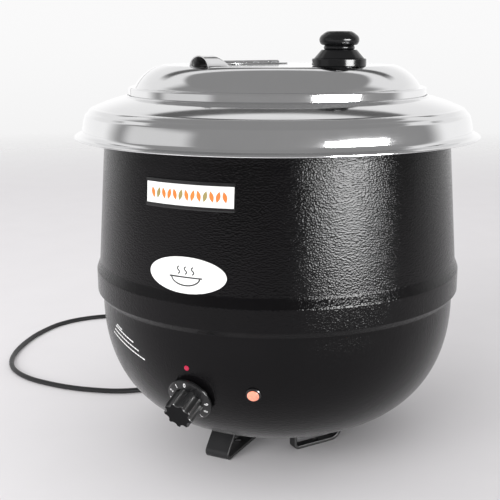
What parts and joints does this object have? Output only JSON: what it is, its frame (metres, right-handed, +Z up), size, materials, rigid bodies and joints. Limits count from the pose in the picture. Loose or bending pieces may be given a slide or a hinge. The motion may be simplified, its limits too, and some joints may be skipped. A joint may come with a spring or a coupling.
{
  "type": "soup kettle",
  "caption": "Free-standing electric soup kettle: rounded black casing, flared steel ring, lift-out pot, hinged two-part lid with ladle slot, thermostat dial and mains cord.",
  "frame": {"origin": "on the surface the kettle stands on, under the kettle's vertical axis", "axes": "+Z up; -Y towards the dial and the menu label; +X to the right as seen from the front"},
  "size_m": [0.5492, 0.421, 0.3538],
  "materials": {
    "hammered_black": "hammertone powder coat, semi-gloss",
    "plated_steel": "zinc plated",
    "black_strap": "smooth black paint",
    "polished_steel": "polished stainless",
    "well_steel": "drawn stainless",
    "glass_wool": "glass wool blanket",
    "heater_steel": "annealed steel sheath",
    "aluminium_plate": "rolled",
    "white_moulding": "heat-resistant moulding",
    "copper": "bare copper",
    "wire_sleeve": "silicone sleeve",
    "black_plastic": "gloss phenolic",
    "lamp_lens": "translucent orange",
    "label_card": "printed card",
    "red_enamel": "enamel dot",
    "white_print": "pad print",
    "cord_jacket": "satin rubber",
    "tie_plastic": "soft plastic tie",
    "brass_contacts": "plated brass"
  },
  "bodies": {
    "kettle": {"upper_shell": "hammered_black", "lower_bowl": "hammered_black", "base_plate": "plated_steel", "base_screws": "plated_steel", "foot_front": "black_strap", "foot_right": "black_strap", "foot_rear": "black_strap", "foot_left": "black_strap", "foot_screws": "plated_steel", "foot_nuts": "plated_steel", "water_well": "well_steel", "insulation_jacket": "glass_wool", "heater_ring": "heater_steel", "heater_plate": "aluminium_plate", "heater_stud": "plated_steel", "heater_nut": "plated_steel", "thermostat_body": "white_moulding", "thermostat_nut": "plated_steel", "sensor_bulb": "copper", "capillary_tube": "copper", "pilot_bezel": "black_plastic", "pilot_lens": "lamp_lens", "pilot_lamp_body": "white_moulding", "terminal_block": "white_moulding", "wiring": "wire_sleeve", "cord_gland": "black_plastic", "gland_nut": "black_plastic", "strain_relief": "black_plastic", "label_holder": "black_plastic", "menu_label": "label_card", "oval_badge": "label_card", "index_dot": "red_enamel", "mains_cord": "cord_jacket", "cord_coil": "cord_jacket", "coil_tie": "tie_plastic", "cord_tail": "cord_jacket", "plug_body": "cord_jacket", "plug_blades": "brass_contacts", "plug_earth_pin": "brass_contacts"},
    "ring": {"top_ring": "polished_steel"},
    "pot": {"inset_pot": "polished_steel"},
    "lid_rear": {"lid_rear_panel": "polished_steel", "hinge_rear_leaf": "polished_steel", "hinge_pin": "polished_steel", "rear_rivets": "polished_steel"},
    "lid_front": {"lid_front_panel": "polished_steel", "hinge_front_leaf": "polished_steel", "front_rivets": "polished_steel", "ladle_hood": "polished_steel", "knob_base": "black_plastic", "lid_knob": "black_plastic", "knob_screw": "plated_steel", "knob_washer": "plated_steel"},
    "dial": {"dial_knob": "black_plastic", "dial_marks": "white_print", "thermostat_shaft": "heater_steel"}
  },
  "joints": [
    {"name": "ring_lift", "type": "slide", "parent": "kettle", "child": "ring", "axis": [0, 0, 1], "range_m": [0, 0.07]},
    {"name": "pot_lift", "type": "slide", "parent": "ring", "child": "pot", "axis": [0, 0, 1], "range_m": [0, 0.23]},
    {"name": "lid_lift", "type": "slide", "parent": "pot", "child": "lid_rear", "axis": [0, 0, 1], "range_m": [0, 0.08]},
    {"name": "lid_open", "type": "hinge", "parent": "lid_rear", "child": "lid_front", "pos_m": [-0.03475, 0.01771, 0.32905], "axis": [-0.454, -0.891, 0], "range_deg": [0, 110]},
    {"name": "dial_turn", "type": "hinge", "parent": "kettle", "child": "dial", "pos_m": [-0.00251, -0.14377, 0.082], "axis": [0.0162, 0.9307, 0.3654], "range_deg": [0, 270]}
  ]
}
